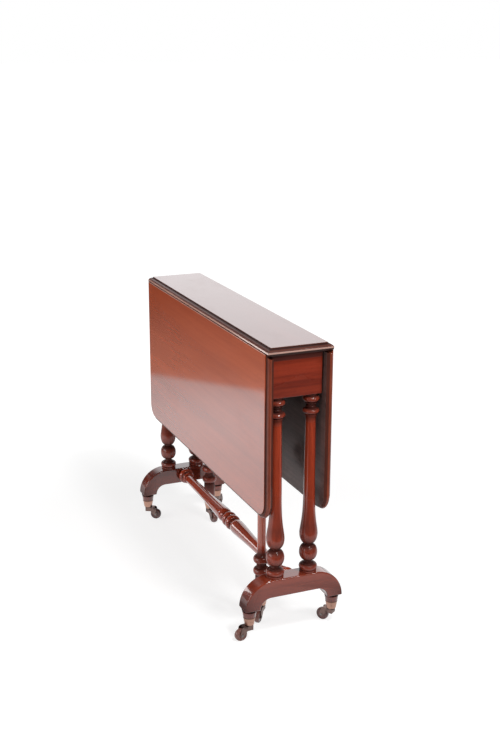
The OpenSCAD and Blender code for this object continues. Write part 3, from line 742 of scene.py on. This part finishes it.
def turned(name, profile, material, segments=80, clean=None, painted_pale=None):
    """A turned mesh about the Z axis from (radius, height) points. Outside its clean stretch,
    given as two heights, the wood is painted darker all over; above one more given height it gets
    a painted pale reflection."""
    curve = bpy.data.curves.new(name, "CURVE")
    curve.dimensions = "3D"
    line = curve.splines.new("POLY")
    line.points.add(len(profile) - 1)
    for point, (radius, height) in zip(line.points, profile):
        point.co = (radius - LATHE_CORE, -height, 0, 1)
    drawing = new_object(f"{name}.profile", curve)
    host = new_object(f"{name}.host", bpy.data.meshes.new(name))
    mesh = grow(host, lathe, Profile=drawing, Segments=segments, Finish=material)
    bpy.data.objects.remove(drawing)
    shade_smooth(mesh)
    mark_shade_and_highlight(mesh, turned_shade_and_highlight(profile, clean, painted_pale))
    return mesh


HOLLOW_WINDOW = 0.014
HOLLOW_DEPTH = 0.009
HOLLOW_FROM = 0.001
PROFILE_STEP = 0.002
# Outside the clean stretch a turning is painted darker.
DARKENED_MOST = 0.55
DARKENED_FADE = (0.14, 0.008)
# The gate-leg shaft above its rings gets a painted pale reflection.
PALE_PAST = 0.012
PAINTED_REFLECTION = -0.2


def turned_shade_and_highlight(profile, clean, painted_pale):
    """How much painted shade a turning gets: most where a point lies inside the fuller parts just
    above and below it, where shade falls, and a little all over outside the clean stretch, where it is
    only painted darker; above the given height it gets a painted pale reflection instead."""
    samples = []
    for (r0, h0), (r1, h1) in zip(profile, profile[1:]):
        count = max(1, int(abs(h1 - h0) / PROFILE_STEP))
        samples += [(r0 + (r1 - r0) * i / count, h0 + (h1 - h0) * i / count)
                    for i in range(count + 1)]

    def shade_and_highlight_at(co):
        near = [r for r, h in samples if abs(h - co.z) < HOLLOW_WINDOW]
        darkened = 0.0
        if clean:
            past = max((clean[0] - co.z) / DARKENED_FADE[0], (co.z - clean[1]) / DARKENED_FADE[1])
            darkened = DARKENED_MOST * max(0.0, min(1.0, past))
        # Above the given height the shaft gets a painted pale reflection.
        if painted_pale and co.z > painted_pale + PALE_PAST:
            return PAINTED_REFLECTION
        # Painted shade, deepest where the point lies inside its fuller neighbours, on top of the painted
        # darkening.
        inside = max(near, default=0.0) - Vector((co.x, co.y)).length - HOLLOW_FROM
        return max(0.0, darkened + inside / HOLLOW_DEPTH)
    return shade_and_highlight_at


def stand_turning(mesh, node, body):
    """Stands a copy of an upright turning where its CAD node stands."""
    low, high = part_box(node)
    middle = (low + high) / 2
    copy = mesh.copy()
    copy.transform(Matrix.Translation((middle.x, middle.y, 0)))
    settle(new_object(f"{node}.finish", copy), body, "turned_mahogany", node)


def bead(base, bulge, low, high, steps=14):
    """A half-round ring that stands bulge proud of the base radius."""
    return [(base + bulge * sin(pi * i / steps),
             (low + high) / 2 - (high - low) / 2 * cos(pi * i / steps)) for i in range(steps + 1)]


def opening(neck, widest, low, high, steps=12):
    """The rounded lower part of a vase."""
    return [(neck + (widest - neck) * sin(pi / 2 * i / steps),
             high - (high - low) * cos(pi / 2 * i / steps)) for i in range(steps)]


def vase(widest, slim, low, high, shoulder, steps=34):
    """The long upper part of a vase, which draws in quickly and tapers to a slim shaft."""
    taper = 0.3 * (widest - slim)
    points = []
    for i in range(steps + 1):
        t = (i / steps) ** 1.5
        drawn = exp(-((t * (high - low) / shoulder) ** 1.5))
        points.append((slim + taper * (1 - t) + (widest - slim - taper) * drawn,
                       low + t * (high - low)))
    return points


def closed(profile):
    """A profile with its ends brought in to the axis."""
    return [(LATHE_CORE, profile[0][1])] + profile + [(LATHE_CORE, profile[-1][1])]


FOOT_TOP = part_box("foot_near")[1].z
FRIEZE_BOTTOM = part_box("end_rail_near")[0].z
WIDEST = (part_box("column_near_left")[1].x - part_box("column_near_left")[0].x) / 2
TENON_R = 0.007
TENON = 0.020


def column_profile():
    """Squat ring, ball, long vase and ringed neck, with a tenon at each end."""
    base, top = FOOT_TOP, FRIEZE_BOTTOM
    widest_z = base + 0.099
    neck = top - 0.058
    return closed(
        [(TENON_R, base - TENON), (TENON_R, base), (0.020, base), (0.0206, base + 0.001),
         (0.0206, base + 0.004), (0.019, base + 0.005)]
        + bead(0.018, WIDEST - 0.018, base + 0.006, base + 0.019)
        + [(0.0146, base + 0.020), (0.014, base + 0.022), (0.010, base + 0.0235),
           (0.0094, base + 0.027)]
        + bead(0.0092, WIDEST - 0.0092, base + 0.0295, base + 0.0695, steps=24)
        + [(0.009, base + 0.071)]
        + opening(0.0095, WIDEST, base + 0.073, widest_z)
        + vase(WIDEST, 0.012, widest_z, neck, shoulder=0.036)
        + [(0.012, neck + 0.004), (0.0142, neck + 0.0055), (0.0142, neck + 0.0085),
           (0.0126, neck + 0.0095)]
        + bead(0.0126, 0.0072, neck + 0.010, neck + 0.022)
        + [(0.0096, neck + 0.023)]
        + bead(0.0092, 0.0024, neck + 0.0235, neck + 0.030, steps=8)
        + [(0.0084, neck + 0.0315), (0.0088, neck + 0.0335)]
        + bead(0.011, 0.003, neck + 0.034, neck + 0.038, steps=8)
        + bead(0.013, 0.0065, neck + 0.039, neck + 0.052)
        + [(0.0135, neck + 0.054), (0.0135, top), (TENON_R, top), (TENON_R, top + TENON)])


def make_columns():
    """Two turned columns at each end."""
    column = turned("column", column_profile(), column_polish,
                    clean=(FOOT_TOP + 0.26, FRIEZE_BOTTOM - 0.054))
    for end in ENDS:
        for side, _ in SIDES:
            node = f"column_{end}_{side}"
            stand_turning(column, node, "frame")


STRETCHER_Z = sum(corner.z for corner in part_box("stretcher")) / 2


def stretcher_profile(reach):
    """A middle ring with a vase and an end ring on each side, and tenons."""
    half = ([(0.012, 0)]
            + bead(0.012, 0.009, 0.002, 0.022)
            + [(0.013, 0.023), (0.011, 0.027)]
            + opening(0.011, 0.0195, 0.029, 0.047)
            + vase(0.0195, 0.0126, 0.047, reach - 0.038, shoulder=0.080)
            + [(0.012, reach - 0.037)]
            + bead(0.012, 0.0045, reach - 0.036, reach - 0.026, steps=10)
            + [(0.0116, reach - 0.024)]
            + bead(0.014, 0.008, reach - 0.021, reach - 0.004)
            + [(0.015, reach - 0.003), (0.015, reach), (0.008, reach), (0.008, reach + 0.018)])
    other = [(radius, -height) for radius, height in reversed(half[1:])]
    return closed(other + half)


def make_stretcher():
    """The turned stretcher between the feet."""
    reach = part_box("foot_near")[0].x
    mesh = turned("stretcher", stretcher_profile(reach), stretcher_polish)
    mesh.transform(Matrix.Translation((0, 0, STRETCHER_Z)) @ Matrix.Rotation(pi / 2, 4, "Y"))
    settle(new_object("stretcher.finish", mesh), "frame", "turned_mahogany", "stretcher")


GATE_SHAFT = 0.176
GATE_UNDARKENED = (0.32, 1.0)


def gate_leg_profile():
    """A foot for the cup, two rings and a plain shaft, with a tenon."""
    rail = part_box("fly_rail_left")[0].z
    return closed(
        [(0.011, 0.049), (0.011, CUP_TOP), (CUP_TOP_R, CUP_TOP),
         (CUP_TOP_R + 0.0004, CUP_TOP + 0.003), (0.0154, 0.113), (0.015, 0.117)]
        + bead(0.0134, WIDEST - 0.015, 0.120, 0.138)
        + [(0.0126, 0.140), (0.0122, 0.144), (0.0126, 0.149)]
        + bead(0.0134, WIDEST - 0.015, 0.151, 0.169)
        + [(0.0114, 0.171), (0.0105, GATE_SHAFT), (0.0105, GATE_SHAFT + PALE_PAST),
           (0.0105, GATE_SHAFT + 2 * PALE_PAST), (0.0105, rail), (0.007, rail),
           (0.007, rail + 0.025)])


def make_gate_legs():
    """A turned leg on each gate."""
    leg = turned("gate leg", gate_leg_profile(), column_polish,
                 clean=GATE_UNDARKENED, painted_pale=GATE_SHAFT)
    for side, _ in SIDES:
        node = f"gate_leg_{side}"
        stand_turning(leg, node, f"gate_{side}")


# Boards, feet and rails. The moulding's sizes are depths under the flat of a board.

STEP = 0.003
LIP = STEP + 0.0075
NOSE = 0.0016
NOSE_END = LIP + 0.0020
SHADE_FADE = 0.0006
SLIGHT_ROUND = 0.0007
JOINT_BAND = 0.0024
CLOSE = 0.0001
FLAT_MARGIN = 0.0003
STEP_CORNER = (-0.0007, 0.0012)
NEAR_LIP = 0.0004
# A painted highlight on the nose of the top's lip, and full painted shade in the moulding's hollows.
EDGE_HIGHLIGHT = -0.95
FULL_SHADE = 1.0


def moulding_shade_and_highlight(depth, on_round, on_nose):
    """How much painted shade and highlight the edge moulding gets, by depth under the flat: full
    painted shade in the corner of the step and on the cut-back face under the lip, and the given
    values on the round and on the nose of the lip, painted shade where positive and a painted
    highlight where negative."""
    if depth < FLAT_MARGIN:
        return 0.0
    if depth > NOSE_END + 2 * CLOSE or STEP_CORNER[0] < depth - STEP < STEP_CORNER[1]:
        return FULL_SHADE
    return on_nose if depth > LIP - NOSE - CLOSE else on_round


def lip_edge(depth_of):
    """Picks the edge of the lip, by depth under the flat."""
    return lambda co: abs(depth_of(co) - LIP) < NEAR_LIP


def make_top():
    """The narrow top. Its small rounding stops short of the lip."""
    _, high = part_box("top_board")

    def depth(co):
        return high.z - co.z
    # Painted shade in the step's corner, on the round and under the lip; a painted highlight on the lip's nose.
    dress("top_board", top_polish, "frame", "top_mahogany",
          soft=((NOSE, lip_edge(depth)), (SLIGHT_ROUND, lambda co: depth(co) < LIP - JOINT_BAND)),
          age=lambda co: moulding_shade_and_highlight(depth(co), 0.5, EDGE_HIGHLIGHT),
          cuts=(("Z", high.z - NOSE_END), ("Z", high.z - NOSE_END - SHADE_FADE)))


# A thin painted highlight along the top edge of each leaf's face, at its joint.
JOINT_LINE = 0.0018
JOINT_HIGHLIGHT = -0.5
JOINT_FACE = 0.002
BACK_SKIN = 0.0035
BACK_EDGE = 0.002


def make_leaves():
    """Polished faces and mouldings, and an unpolished back."""
    for side, way in SIDES:
        node = f"leaf_{side}"
        low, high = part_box(node)
        back, face_y = (low.y, high.y) if way > 0 else (high.y, low.y)

        def depth(co):
            return abs(co.y - face_y)

        # A painted highlight along the joint at the top of the face; painted shade on the moulding's round and
        # nose and under the lip.
        def leaf_shade_and_highlight(co):
            if co.z > high.z - JOINT_LINE - CLOSE:
                highlighted = co.z > high.z - JOINT_LINE + 2 * CLOSE and depth(co) < JOINT_FACE
                return JOINT_HIGHLIGHT if highlighted else 0.0
            return moulding_shade_and_highlight(depth(co), 0.7, 0.55)
        piece = dress(node, leaf_polish, node, "top_mahogany",
                      soft=((NOSE, lip_edge(depth)),
                            (SLIGHT_ROUND, lambda co: abs(co.y - back) > BACK_EDGE)),
                      age=leaf_shade_and_highlight, cuts=(("Z", high.z - JOINT_LINE), ("Y", face_y - way * NOSE_END),
                                          ("Y", face_y - way * (NOSE_END + SHADE_FADE))))
        piece.data.materials.append(leaf_back)
        for face in piece.data.polygons:
            if abs(face.center.y - back) < BACK_SKIN and face.normal.y * way < -0.9:
                face.material_index = 1


NECK_GROOVE = ((-0.0010, 1.0), (-0.0016, 0.82), (-0.0050, 0.82), (-0.0060, 1.0))
NECK_REACH = 0.026
# Painted shade in the groove under the plank, and on the feet's outer shoulders.
NECK_SHADED = (-0.0055, 0.0002)
SHOULDER_REACH = 0.012
SHOULDER_SHADE = 0.8
PLANK = 0.072
FOOT_ROUND = 0.0028
SOCKET_REACH = 0.011


def make_feet():
    """Arched feet with a groove turned round each leg under the plank."""
    castor_y = sum(corner.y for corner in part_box("castor_socket_near_right")) / 2
    for end in ENDS:
        node = f"foot_{end}"
        low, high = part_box(node)
        plank_z = high.z - PLANK

        def on_face(co):
            on_plane = min(abs(co.x - low.x), abs(co.x - high.x)) < CLOSE
            at_socket = abs(co.y) < SOCKET_REACH and abs(co.z - STRETCHER_Z) < SOCKET_REACH
            return on_plane and not at_socket and co.z > plank_z - CLOSE
        middle_x = (low.x + high.x) / 2

        # Painted shade in the groove under the plank and on the shoulders, growing towards their outer ends.
        def under_foot(co):
            reach = Vector((co.x - middle_x, abs(co.y) - castor_y)).length
            if reach < NECK_REACH and NECK_SHADED[0] < co.z - plank_z < NECK_SHADED[1]:
                return FULL_SHADE
            if co.z <= plank_z:
                return 0.0
            return SHOULDER_SHADE * max(0.0, 1 - (high.y - abs(co.y)) / SHOULDER_REACH)

        def grooved(co):
            stem = Vector((middle_x, castor_y if co.y > 0 else -castor_y, co.z))
            away = co - stem
            for drop, share in NECK_GROOVE:
                if abs(co.z - plank_z - drop) < CLOSE and away.length < NECK_REACH:
                    return stem + away * share
            return co
        dress(node, foot_polish, "frame", "turned_mahogany",
              soft=((FOOT_ROUND, on_face),), age=under_foot,
              cuts=[("Z", plank_z + drop) for drop, _ in NECK_GROOVE], reshape=grooved)


LIP_SHADE = (0.0150, 0.0180)
LIP_SHADE_LEVELS = (0.85, 0.0, 0.3)
ROW_MARGIN = 0.0005


def make_frame_woodwork():
    """The rails. The end rails get a painted shadow close under the lip of the top, and are painted
    a little darker towards their lower edge."""
    for end in ENDS:
        top_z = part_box(f"end_rail_{end}")[1].z

        # A painted shadow under the lip, none just below it, then painted darker by degrees towards the lower
        # edge.
        def rail_shade(co):
            return LIP_SHADE_LEVELS[sum(co.z <= top_z - drop - ROW_MARGIN for drop in LIP_SHADE)]
        dress(f"end_rail_{end}", frieze_polish, "frame", "frieze_mahogany", age=rail_shade,
              cuts=[("Z", top_z - drop) for drop in LIP_SHADE])
    for side, _ in SIDES:
        dress(f"side_rail_{side}", rail_wood, "frame", "inner_wood")
        dress(f"knuckle_rail_{side}", rail_wood, "frame", "inner_wood")
        dress(f"fly_rail_{side}", rail_wood, f"gate_{side}", "inner_wood")
    dress("spacer_blocks", rail_wood, "frame", "inner_wood")


# Castors

def make_castors():
    """Six castors, each a cup, a fork, an axle and a china wheel."""
    for name in CASTORS:
        socket = f"castor_socket_{name}"
        dress(socket, cup_metal, body_of(socket), "brass")
        dress(f"castor_fork_{name}", fork_brass, f"swivel_{name}", "brass")
        dress(f"castor_axle_{name}", screw_steel, f"swivel_{name}", "steel")
        dress(f"castor_wheel_{name}", china, f"wheel_{name}", "brown_china")


# Ironwork

HINGES_X = (-0.3, 0.0, 0.3)
FLAP_SCREWS = ((-0.02, 0.022), (0.0, 0.015), (0.02, 0.022))
LEAF_FLAP_FROM = 0.012
BLOCKS_X = (-0.2, 0.0, 0.2)
HINGE_SCREW = {"length": 0.012, "head": 0.0032, "shank": 0.0014}
TOP_SCREW = {"head": 0.0045, "shank": 0.0022}
SLOT_WIDTH = 0.0008
SLOT_DEPTH = 0.0006
SLOT_LENGTHS_PER_HEAD = 2.4


def screw_tree():
    """Slotted, countersunk wood screws, one at each point of the host, heads down, each turned
    as far as its driver happened to leave it."""
    tree, nodes, given = new_geometry_tree("Wood screws", (
        ("Geometry", "NodeSocketGeometry"), ("Screw", "NodeSocketObject"), ("Slot length", FLOAT),
        ("Slot width", FLOAT), ("Slot depth", FLOAT), ("Seed", "NodeSocketInt"),
        ("Finish", "NodeSocketMaterial")))
    blank = nodes.add("GeometryNodeObjectInfo", {"Object": given.outputs["Screw"]})
    size = nodes.add("ShaderNodeCombineXYZ", {
        "X": given.outputs["Slot length"], "Y": given.outputs["Slot width"],
        "Z": nodes.maths("MULTIPLY", given.outputs["Slot depth"], 2.0)})
    slot = nodes.add("GeometryNodeMeshCube", {"Size": size.outputs[0]})
    slotted = nodes.add("GeometryNodeMeshBoolean", {
        "Mesh 1": blank.outputs["Geometry"],
        "Mesh 2": slot.outputs["Mesh"]}, operation="DIFFERENCE")
    turn = nodes.add("FunctionNodeRandomValue", {"Seed": given.outputs["Seed"]},
                     data_type="FLOAT_VECTOR")
    turn.inputs[0].default_value = (0, 0, 0)
    turn.inputs[1].default_value = (0, 0, pi)
    set_in = nodes.add("GeometryNodeInstanceOnPoints", {"Points": given.outputs["Geometry"],
                                                        "Instance": slotted.outputs["Mesh"],
                                                        "Rotation": turn.outputs["Value"]})
    return finish_tree(nodes, set_in.outputs["Instances"], given.outputs["Finish"])


wood_screws = screw_tree()


def screw_profile(length, head, shank):
    """A countersunk wood screw, head down, as points from the head to the tip."""
    return closed([(head, 0), (head, 0.0002), (shank, head - shank), (shank, length - 0.002),
                   (0.0002, length)])


def put_screws(node, body, places, length, head, shank, onto=None):
    """Drives a screw at each place, pointing up, and lays the lot onto the table by a matrix
    where one is given."""
    screw = turned(node, screw_profile(length, head, shank), screw_steel, segments=24)
    blank = new_object(f"{node}.blank", screw)
    points = bpy.data.meshes.new(f"{node}.places")
    points.from_pydata(places, [], [])
    seed = sum(map(ord, node))
    mesh = grow(new_object(f"{node}.host", points), wood_screws, Screw=blank,
                Slot_length=SLOT_LENGTHS_PER_HEAD * head, Slot_width=SLOT_WIDTH,
                Slot_depth=SLOT_DEPTH, Seed=seed, Finish=screw_steel)
    bpy.data.objects.remove(blank)
    if onto:
        mesh.transform(onto)
    shade_smooth(mesh)
    settle(new_object(f"{node}.finish", mesh), body, "steel", node)


def make_screws():
    """The screws of the hinge flaps and of the top."""
    for side, way in SIDES:
        axis_y, axis_z = joints[f"leaf_{side}_hinge"]["pos_m"][1:]
        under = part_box(f"hinge_screws_top_{side}")[0].z
        put_screws(f"hinge_screws_top_{side}", "frame",
                   [(x + along, axis_y - way * across, under)
                    for x in HINGES_X for along, across in FLAP_SCREWS], **HINGE_SCREW)
        node = f"hinge_screws_leaf_{side}"
        low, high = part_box(node)
        back = low.y if way > 0 else high.y
        lay = Matrix.Translation((0, back, 0)) @ Matrix.Rotation(-way * pi / 2, 4, "X")
        down = [axis_z - LEAF_FLAP_FROM - across for _, across in FLAP_SCREWS]
        put_screws(node, f"leaf_{side}", [(x + along, -way * z, 0) for x in HINGES_X
                                          for (along, _), z in zip(FLAP_SCREWS, down)],
                   onto=lay, **HINGE_SCREW)
    low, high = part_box("top_screws")
    put_screws("top_screws", "frame", [(x, 0, low.z) for x in BLOCKS_X],
               length=high.z - low.z, **TOP_SCREW)


def make_ironwork():
    """The knuckle pins, hinge flaps and hinge pins."""
    for side, _ in SIDES:
        dress(f"fly_pin_{side}", screw_steel, "frame", "steel")
        dress(f"hinge_plates_top_{side}", hinge_iron, "frame", "hinge_iron")
        dress(f"hinge_plates_leaf_{side}", hinge_iron, f"leaf_{side}", "hinge_iron")
        dress(f"hinge_pins_{side}", hinge_iron, "frame", "hinge_iron")


make_camera()
make_floor()
make_world()
make_lamps()
make_top()
make_leaves()
make_feet()
make_frame_woodwork()
make_columns()
make_stretcher()
make_gate_legs()
make_castors()
make_ironwork()
make_screws()
